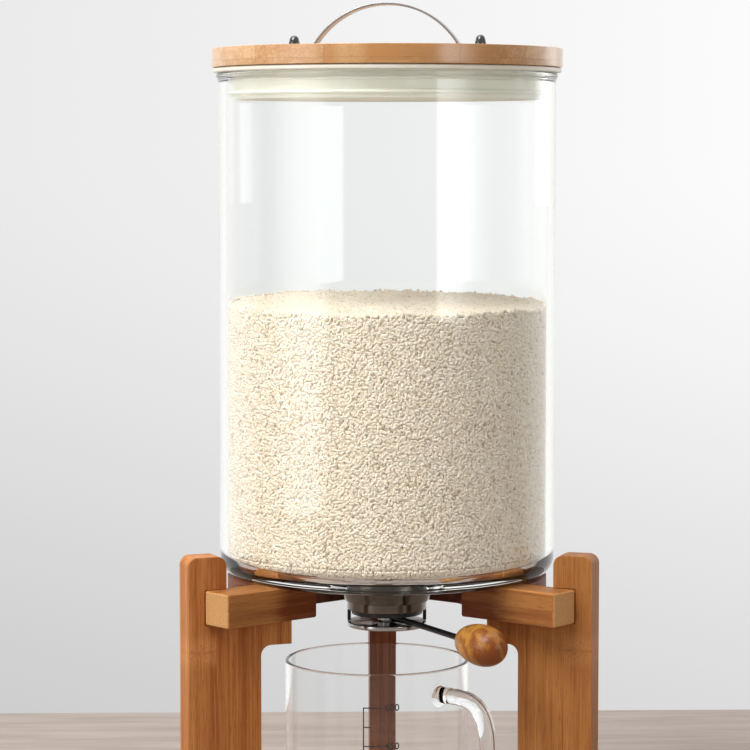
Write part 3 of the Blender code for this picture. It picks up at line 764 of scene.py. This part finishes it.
def wall_places():
    """Places on the inside of the glass, from the surface of the heap down and round the corner."""
    step = 0.9 * GRAIN_SPACING
    inner = JAR_INNER - 0.3 * MM
    floor = GRAIN_LOW.z
    corner = floor + INNER_CORNER
    rows = []
    height = GRAIN_TOP + 2.5 * MM
    while height > corner:
        rows.append((inner, height, 0.0))
        height -= step
    corner_rows = 7
    for k in range(1, corner_rows + 1):
        turn = math.radians(k * 90 / corner_rows)
        radius = inner - INNER_CORNER * (1 - math.cos(turn))
        rows.append((radius, corner - INNER_CORNER * math.sin(turn), turn))
    found = []
    for row, (radius, height, turn) in enumerate(rows):
        count = int(2 * math.pi * radius / (1.1 * GRAIN_SPACING))
        for i in range(count):
            angle = 2 * math.pi * (i + 0.5 * (row % 2) + RANDOM.uniform(-0.42, 0.42)) / count
            lift = RANDOM.uniform(-0.45, 0.45) * step if turn == 0 else 0
            outward = polar(math.cos(turn), angle, -math.sin(turn))
            depth = 1.0 * MM + RANDOM.uniform(0, 0.4) * MM
            spot = polar(radius, angle, height + lift) - outward * depth
            if turn == 0 and spot.z > heap(spot.x, spot.y) + 0.4 * MM:
                continue
            found.append((spot, outward, depth))
    return found


def surface_places():
    """Places on top of the heap."""
    step = 1.05 * GRAIN_SPACING
    reach = JAR_INNER - 2.2 * MM
    found = []
    count = int(reach / step)
    for i in range(-count, count + 1):
        for j in range(-count, count + 1):
            x = (i + RANDOM.uniform(-0.45, 0.45)) * step
            y = (j + RANDOM.uniform(-0.45, 0.45)) * step
            if x * x + y * y < reach * reach:
                found.append((Vector((x, y, heap(x, y) - 0.4 * MM)), Vector((0, 0, 1)), 1.6 * MM))
    return found


RICE_COLOURS = (
    (0.79, 0.695, 0.585),
    (0.76, 0.66, 0.54),
    (0.82, 0.735, 0.64),
    (0.73, 0.62, 0.49),
    (0.78, 0.68, 0.565),
    (0.50, 0.41, 0.31),
)
RICE_SHARES = (24, 22, 16, 12, 22, 3)
WALL_PIECES = 8
SURFACE_PIECES = 2


def make_grains():
    """Loose rice against the glass and on top, in a few pieces."""
    points, faces = grain_shape()
    points = np.array([(*p, 1) for p in points])
    materials = [rice("rice_%d" % i, colour) for i, colour in enumerate(RICE_COLOURS)]
    groups = []
    for kind, found, count in (
        ("wall", wall_places(), WALL_PIECES),
        ("surface", surface_places(), SURFACE_PIECES),
    ):
        groups += [("grain_%s_%d" % (kind, i + 1), found[i::count]) for i in range(count)]
    for name, places in groups:
        matrices = np.array([grain_matrix(*place) for place in places])
        verts = np.einsum("nij,pj->npi", matrices, points)[:, :, :3].reshape(-1, 3)
        many = []
        for i in range(len(places)):
            start = i * len(points)
            many += [tuple(start + corner for corner in face) for face in faces]
        mesh = bpy.data.meshes.new(name)
        mesh.from_pydata(verts.tolist(), [], many)
        for material in materials:
            mesh.materials.append(material)
        own = RANDOM.choices(range(len(materials)), RICE_SHARES, k=len(places))
        mesh.polygons.foreach_set("material_index", np.repeat(own, len(faces)).astype(np.int32))
        mesh.shade_smooth()
        mesh.update()
        piece(new_object(name, mesh), ["grain_fill"], "jar")


# ---------------------------------------------------------------- outlet and shutter


def make_outlet():
    """The outlet with its nut and washers, the cage and pivot under it, and the shutter. Returns the
    silicone, which the lid's seal shares."""
    # painted shade: the polished steel's colour is made dark and warm, for the shade under the jar
    satin_painted_shade = steel("polished_steel", (0.13, 0.117, 0.10), 0.2)
    bright = steel("bright_steel", (0.42, 0.415, 0.41), 0.16)
    plated = steel("plated_steel", (0.70, 0.69, 0.67), 0.26)
    black = steel("black_steel", (0.020, 0.020, 0.024), 0.30, metallic=0.5)
    rubber = silicone()
    refined("outlet_body", "outlet_tube", satin_painted_shade)
    refined("clamp_nut", "outlet_nut", satin_painted_shade)
    refined("gasket_inner", "washer_inner", rubber)
    refined("gasket_outer", "washer_outer", rubber)
    for side in ("left", "right", "rear"):
        refined("guard_post_" + side, "ring_post_" + side, black, 0.1 * MM)
    refined("pivot_pin", "pivot", plated)
    refined("pivot_nut", "pivot_hex", plated)
    refined("shutter_disc", "shutter", black, 0.15 * MM)
    refined("guard_ring", "guard", bright)
    make_knurl(plated)
    make_lever(black)
    return rubber


def make_knurl(metal):
    """The knurled boss that the lever turns with."""
    radius = (BOSS_HIGH.x - BOSS_LOW.x) / 2
    bore, edge, groove = 3 * MM, 0.4 * MM, 0.22 * MM
    low, high = BOSS_LOW.z, BOSS_HIGH.z
    profile = [(bore, high), (radius - edge, high), (radius, high - edge), (radius, low + edge)]
    profile += [(radius - edge, low), (bore, low)]

    def teeth(r, height, i):
        return -groove if r > bore * 1.2 and i % 4 > 1 else 0

    obj = lathe("lever_knurl", profile, metal, 144, teeth, 25)
    piece(obj, ["lever_boss"], "shutter")


def make_lever(black):
    """The bent rod and the egg-shaped knob on its end, plumper towards the tip."""
    refined("lever_rod", "lever", black, 0.2 * MM)
    low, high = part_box("lever_knob")
    centre = (low + high) / 2
    half, belly, fullness, plump = 18 * MM, 10.7 * MM, 0.94, 0.10
    steps = 32
    profile = [(0, half)]
    for i in range(1, steps):
        angle = math.radians(90 - 180 * i / steps)
        width = belly * math.cos(angle) ** fullness * (1 + plump * math.sin(angle))
        profile.append((width, half * math.sin(angle)))
    bore, depth = 2.1 * MM, 13 * MM
    profile = profile[:-1] + [(bore + 0.5 * MM, -half + 0.25 * MM), (bore, -half + 0.6 * MM)]
    profile += [(bore, -half + depth), (0, -half + depth)]
    obj = lathe("knob_egg", profile, knob_wood(), 96, sharp=50)
    way = Vector((math.cos(LEVER_AZIMUTH), math.sin(LEVER_AZIMUTH), LEVER_SLOPE)).normalized()
    obj.matrix_world = Matrix.Translation(centre) @ way.to_track_quat("Z", "Y").to_matrix().to_4x4()
    piece(obj, ["lever_knob"], "shutter")


# ---------------------------------------------------------------- lid

LID_LIGHT = (0.82, 0.54, 0.30)
LID_DARK = (0.52, 0.25, 0.08)
PLUG_LIGHT = (0.86, 0.81, 0.70)
PLUG_DARK = (0.74, 0.66, 0.50)


def make_lid(rubber):
    """The lid's board and plug, its silicone sleeve with two lips, and the strap with its screws."""
    radius, edge = LID_HIGH.x, EDGE_ROUND
    profile = [(0, LID_HIGH.z), (radius * 0.5, LID_HIGH.z)]
    profile += arc((radius - edge, LID_HIGH.z - edge), edge, 90, 0, 5)
    profile += arc((radius - edge, LID_LOW.z + edge), edge, 0, -90, 5)
    profile += [(radius * 0.5, LID_LOW.z), (0, LID_LOW.z)]
    axes = (Vector((0, 1, 0)), Vector((0, 0, 1)), Vector((1, 0, 0)))
    start = Vector((0, 9 * MM, LID_LOW.z + 3.2 * MM))
    strip, ply = 24 * MM, 7.4 * MM
    # painted light and shade: with ends the lid is darker in its middle and paler towards its left and
    # right edges
    wood = bamboo(
        "bamboo_lid", LID_LIGHT, LID_DARK, start, axes, strip, ply,
        spacing=170 * MM, first=4 * MM, ends=0.12, coat=1.0,
    )
    piece(lathe("lid_board", profile, wood, 256), ["lid_disc"], "lid")
    pale = bamboo("bamboo_plug", PLUG_LIGHT, PLUG_DARK, start, axes, strip, ply)
    refined("lid_plug", "plug_board", pale, 0.5 * MM)

    inner = PLUG_RADIUS + 0.3 * MM
    body = PLUG_RADIUS + 2 * MM
    lip = JAR_INNER - 0.3 * MM
    rim = JAR_HIGH.z + 0.3 * MM
    flange = SEAL_HIGH.x
    top, low = SEAL_HIGH.z, SEAL_LOW.z
    profile = [(inner, top)] + arc((flange - 0.9 * MM, top - 0.9 * MM), 0.9 * MM, 90, 0, 4)
    profile += arc((flange - 0.7 * MM, rim + 0.7 * MM), 0.7 * MM, 0, -90, 3)
    profile += arc((body + 1 * MM, rim - 1 * MM), 1 * MM, 90, 180, 3)
    for height in (rim - 3.6 * MM, rim - 11 * MM):
        profile += [(body, height + 1.4 * MM)]
        profile += arc((lip - 0.5 * MM, height), 0.5 * MM, 70, -70, 4)
        profile += [(body, height - 1.4 * MM)]
    profile += [(body, low + 0.6 * MM), (body - 0.6 * MM, low), (inner, low)]
    piece(lathe("seal_sleeve", profile, rubber, 256, sharp=50), ["lid_seal"], "lid")

    make_strap()
    dark = steel("dark_screw", (0.12, 0.116, 0.112), 0.2)
    for side in ("left", "right"):
        refined("handle_screw_" + side, "strap_screw_" + side, dark, 0.15 * MM)


def make_strap():
    """A thin band bent up into an arch, with rounded ends and eased edges."""
    thick, width, end = 1.2 * MM, 12 * MM, 4 * MM
    low, high = STRAP_LOW.z, STRAP_HIGH.z
    rise, span = high - low - thick, 39 * MM
    foot, bend = 56 * MM, 44 * MM
    radius = (span**2 + rise**2) / (2 * rise)
    half = math.degrees(math.asin(span / radius))
    line = [(-foot + end * i / 4, 0) for i in range(4)] + [(-bend, 0)]
    line += arc((0, rise - radius), radius, 90 + half, 90 - half, 48)
    line += [(-x, z) for x, z in reversed(line[:5])]
    made = bmesh.new()
    rows = []
    for x, z in line:
        short = max(0.0, abs(x) - (foot - end)) / end
        y = (width / 2) * math.sqrt(max(0.0, 1 - (0.86 * short) ** 2))
        rows.append([made.verts.new((x, -y, low + z)), made.verts.new((x, y, low + z))])
    for (a, b), (c, d) in zip(rows, rows[1:]):
        made.faces.new((a, c, d, b))
    bmesh.ops.recalc_face_normals(made, faces=made.faces)
    if sum(face.normal.z for face in made.faces) < 0:
        bmesh.ops.reverse_faces(made, faces=made.faces)
    mesh = mesh_from(made, "strap_band")
    mesh.shade_smooth()
    obj = new_object("strap_band", mesh, steel("strap_steel", (0.40, 0.40, 0.41), 0.34, False))
    obj.rotation_euler.z = STRAP_TURN
    shell = obj.modifiers.new("thickness", "SOLIDIFY")
    shell.thickness = thick
    shell.offset = 1
    ease_edges(obj, 0.3 * MM, 2, 60)
    keep_flat(obj, keep_sharp=False)
    piece(obj, ["handle_strap"], "lid")


# ---------------------------------------------------------------- measuring cup


def make_cup(glass):
    """A straight beaker with a fire-polished rim, and a bent glass rod fused on as its handle."""
    top = CUP_HIGH.z
    inner = CUP_RADIUS - CUP_WALL
    corner, inner_corner = 8 * MM, 6 * MM
    foot = CUP_RADIUS - corner - 3 * MM
    rim = CUP_WALL / 2
    profile = arc((CUP_RADIUS - rim, top - rim), rim, 180, 0, 8)
    profile += [(CUP_RADIUS, top - rim - RING)]
    profile += [(CUP_RADIUS, height) for height in JOINT_RINGS]
    profile += [(CUP_RADIUS, corner + RING)]
    profile += arc((CUP_RADIUS - corner, corner), corner, 0, -90, 8)
    profile += [(CUP_RADIUS - corner - RING, 0), (foot, 0)]
    profile += [(foot - 1.5 * MM, CUP_HOLLOW), (0, CUP_HOLLOW)]
    profile += [(0, CUP_FLOOR), (inner - inner_corner - RING, CUP_FLOOR)]
    profile += arc((inner - inner_corner, CUP_FLOOR + inner_corner), inner_corner, -90, 0, 6)
    profile += [(inner, CUP_FLOOR + inner_corner + RING), (inner, top - rim - RING)]
    cup = lathe_open_axis("cup_glass", profile, glass, 192)
    cup.location = CUP_PLACE
    line = [polar(r * MM, HANDLE_AZIMUTH, z * MM) for r, z in HANDLE_LINE]
    handle = tube("cup_handle_bar", smooth_line(line, 5), HANDLE_RADIUS, glass, 8, HANDLE_FLARE)
    handle.location = CUP_PLACE
    join = cup.modifiers.new("fused handle", "BOOLEAN")
    join.operation = "UNION"
    join.solver = "EXACT"
    join.object = handle
    bpy.context.view_layer.update()
    graph = bpy.context.evaluated_depsgraph_get()
    mesh = bpy.data.meshes.new_from_object(cup.evaluated_get(graph))
    cup.modifiers.clear()
    cup.data = mesh
    bpy.data.objects.remove(handle)
    shade(mesh, 40)
    keep_flat(cup)
    piece(cup, ["measuring_cup"], "cup")


def lathe_open_axis(name, profile, material, steps):
    """Turned solid whose profile touches the axis twice in its middle, at the floor's two faces."""
    split = [i for i, (radius, _) in enumerate(profile) if radius < ON_AXIS]
    return lathe(name, profile[split[1] :] + profile[: split[0] + 1], material, steps)


SCALE_TOP = 87.8 * MM
SCALE_STEP = 20.5 * MM
SCALE_OFFSET = -8.2 * MM
SCALE_TICKS = 8
TOP_VOLUME, TICK_VOLUME = 600, 75
SHORT_TICK, LONG_TICK = 3.8 * MM, 10.4 * MM
PRINT_THICKNESS = 0.05 * MM


def wrapped(flat):
    """A flat print's mesh, bent onto the outside of the cup."""
    start = -math.pi / 2 + math.asin(SCALE_OFFSET / CUP_RADIUS)
    for vertex in flat.verts:
        u, v, w = vertex.co
        spot = polar(CUP_RADIUS + 0.02 * MM + w, start + u / CUP_RADIUS, v)
        vertex.co = CUP_PLACE + spot


def add_stroke(made, u0, v0, u1, v1):
    """A thin raised rectangle, in pieces short enough to bend."""
    count = max(1, int(abs(u1 - u0) / (1 * MM)))
    for i in range(count):
        a, b = u0 + (u1 - u0) * i / count, u0 + (u1 - u0) * (i + 1) / count
        corners = [(a, v0), (b, v0), (b, v1), (a, v1)]
        low = [made.verts.new((u, v, 0)) for u, v in corners]
        high = [made.verts.new((u, v, PRINT_THICKNESS)) for u, v in corners]
        made.faces.new(high)
        made.faces.new(low[::-1])
        for k in range(4):
            n = (k + 1) % 4
            made.faces.new((low[k], low[n], high[n], high[k]))


def add_number(made, words, u, v):
    """Raised figures whose left edge is at u and whose middle is at the height v."""
    curve = bpy.data.curves.new("number", "FONT")
    curve.body = words
    curve.size = 5.2 * MM
    curve.offset = 0.07 * MM
    curve.extrude = PRINT_THICKNESS / 2
    curve.align_x, curve.align_y = "LEFT", "CENTER"
    curve.resolution_u = 4
    mesh = mesh_of_curve(curve)
    mesh.transform(Matrix.Translation((u, v, PRINT_THICKNESS / 2)))
    made.from_mesh(mesh)


def make_scale():
    """The cup's printed scale: an upright line, a tick for every 75 ml and a number for every 150 ml."""
    made = bmesh.new()
    thin = 0.62 * MM
    low = SCALE_TOP - (SCALE_TICKS - 1) / 2 * SCALE_STEP
    add_stroke(made, -thin / 2, low - thin / 2, thin / 2, SCALE_TOP + thin / 2)
    for step in range(SCALE_TICKS):
        height = SCALE_TOP - step * SCALE_STEP / 2
        length = SHORT_TICK if step % 2 else LONG_TICK
        add_stroke(made, thin / 2, height - thin / 2, length, height + thin / 2)
        if step % 2 == 0:
            add_number(made, str(TOP_VOLUME - TICK_VOLUME * step), LONG_TICK + 0.8 * MM, height)
    wrapped(made)
    bmesh.ops.remove_doubles(made, verts=made.verts, dist=SAME_POINT)
    mesh = mesh_from(made, "cup_scale")
    piece(new_object("cup_scale", mesh, printed()), [], "cup")


# ---------------------------------------------------------------- studio


def make_table():
    """A pale table top. Its far edge is a little behind the object."""
    far, near, side, thick = 0.378, -2.6, 2.6, 0.04
    made = bmesh.new()
    bmesh.ops.create_cube(made, size=1)
    for vertex in made.verts:
        vertex.co.x *= 2 * side
        vertex.co.y = far if vertex.co.y > 0 else near
        vertex.co.z = 0 if vertex.co.z > 0 else -thick
    mesh = mesh_from(made, "table")
    top = Shading("table_top", (0.50, 0.42, 0.37), 0.5)
    streaks = top.clouds(top.place(), (7, 60, 0), 5.0, 0.7)
    dark, light = (0.28, 0.22, 0.188), (0.375, 0.308, 0.274)
    top.set("Base Color", top.mix(top.step(streaks, 0.3, 0.7), dark, light))
    table = new_object("table", mesh, top.material)


MIRRORED_LIGHT = 0.42
DIM_LIGHT = 0.06


def make_world():
    """A pale room. It is bright behind the object and overhead, and dim on the user's side, which
    shows only in what the object reflects. Where a shiny surface mirrors the room, it is brighter."""
    made = bpy.data.worlds.new("room")
    bpy.context.scene.world = made
    made.use_nodes = True
    tree = made.node_tree
    tree.nodes.clear()

    def node(kind, values):
        return add_node(tree, kind, values).outputs

    def step(value, low, high, start, end):
        return add_step(tree, value, low, high, start, end)

    def sums(operation, a, b):
        return add_node(tree, "Math", {0: a, 1: b}, operation=operation).outputs[0]

    x, y, z = node("SeparateXYZ", {0: node("TexCoord", {})["Generated"]})
    wall = sums("MULTIPLY", step(z, -0.25, 0.0, 0.61, 0.86), step(x, -0.25, 0.30, 0.92, 1.16))
    seen = node("Background", {"Color": (1.0, 1.0, 1.0, 1), "Strength": wall})
    behind = step(y, -0.1, 0.6, 0.0, 0.55)
    above = step(z, 0.15, 0.85, 0.0, 0.45)
    path = node("LightPath", {})
    mirrored = sums("MULTIPLY", sums("GREATER_THAN", path["Glossy Depth"], 0.5), MIRRORED_LIGHT)
    level = sums("ADD", sums("ADD", behind, above), sums("ADD", mirrored, DIM_LIGHT))
    given = node("Background", {"Color": (1.0, 0.985, 0.965, 1), "Strength": level})
    bounces = sums("ADD", path["Diffuse Depth"], path["Glossy Depth"])
    reflected = sums("GREATER_THAN", bounces, 0.5)
    both = node("MixShader", {0: reflected, 1: seen[0], 2: given[0]})
    node("OutputWorld", {0: both[0]})


def softbox(name, place, aim, size, level, fades, colour=(1, 1, 1)):
    """A lit panel as bright as level says, whatever its size. It fades towards its left and right
    edges, over the shares of its width in fades."""
    light = bpy.data.lights.new(name, "AREA")
    light.shape = "RECTANGLE"
    light.size, light.size_y = size
    light.energy = 4 * size[0] * size[1] * level
    light.color = colour
    obj = bpy.data.objects.new(name, light)
    bpy.context.scene.collection.objects.link(obj)
    obj.location = place
    turn = (Vector(aim) - Vector(place)).to_track_quat("-Z", "Y")
    obj.rotation_euler = turn.to_euler()
    light.use_nodes = True
    tree = light.node_tree
    across = turn @ Vector((1, 0, 0))
    where = add_node(tree, "NewGeometry", {}).outputs["Position"]
    reach = add_node(tree, "VectorMath", {0: where, 1: across}, operation="DOT_PRODUCT").outputs["Value"]
    middle = Vector(place).dot(across)
    left, right = middle - size[0] / 2, middle + size[0] / 2
    rise = add_step(tree, reach, left, left + fades[0] * size[0], 0.0, 1.0)
    fall = add_step(tree, reach, right - fades[1] * size[0], right, 1.0, 0.0)
    strength = add_node(tree, "Math", {0: rise, 1: fall}, operation="MULTIPLY").outputs[0]
    tree.links.new(strength, tree.nodes["Emission"].inputs["Strength"])


def around(distance, angle, height):
    """A place at a distance from the jar's axis and an angle from the user's direction, to the right."""
    turn = math.radians(angle)
    return Vector((distance * math.sin(turn), -distance * math.cos(turn), height))


WARM = (1, 0.98, 0.95)


def make_lights():
    """Two lamps on the user's left, a window on the right, one behind and one overhead."""
    softbox("key", around(1.05, -47, 1.6), (0, 0, 0.25), (0.9, 0.9), 8.8, (0.2, 0.2), WARM)
    softbox("tall", around(1.55, -64, 0.45), (0, 0, 0.45), (1.55, 1.0), 2.3, (0.62, 0.28), WARM)
    softbox("window", around(1.55, 46, 0.5), (0, 0, 0.5), (0.88, 0.6), 3.0, (0.1, 0.8))
    softbox("rim", around(1.45, 130, 0.85), (0, 0, 0.85), (0.65, 1.06), 1.0, (0.2, 0.2))
    softbox("top", Vector((-0.1, 0.1, 1.6)), (0, 0, 0.3), (1.0, 1.0), 1.6, (0.2, 0.2))


CAMERA_PLACE = Vector((-45.3 * MM, -1526.3 * MM, 383.5 * MM))
CAMERA_PITCH = math.radians(4.65)
CAMERA_HEADING = math.radians(1.459)


def make_camera():
    """A long lens a metre and a half away, a little above the jar's middle."""
    camera = bpy.data.cameras.new("camera")
    camera.lens = 136.8
    camera.sensor_width = 36
    obj = bpy.data.objects.new("camera", camera)
    bpy.context.scene.collection.objects.link(obj)
    flat = math.cos(CAMERA_PITCH)
    look = Vector(
        (math.sin(CAMERA_HEADING) * flat, math.cos(CAMERA_HEADING) * flat, -math.sin(CAMERA_PITCH))
    )
    obj.location = CAMERA_PLACE
    obj.rotation_euler = look.to_track_quat("-Z", "Y").to_euler()
    bpy.context.scene.camera = obj


make_stand()
make_jar(clear_glass("jar_clear_glass", (0.985, 1.0, 0.992), 1.36, 0.04))
make_core()
make_grains()
make_lid(make_outlet())
make_cup(clear_glass("cup_clear_glass", (0.99, 1.0, 0.997), 1.28, 0.03))
make_scale()
make_table()
make_world()
make_lights()
make_camera()
bpy.context.scene.view_settings.view_transform = "Standard"
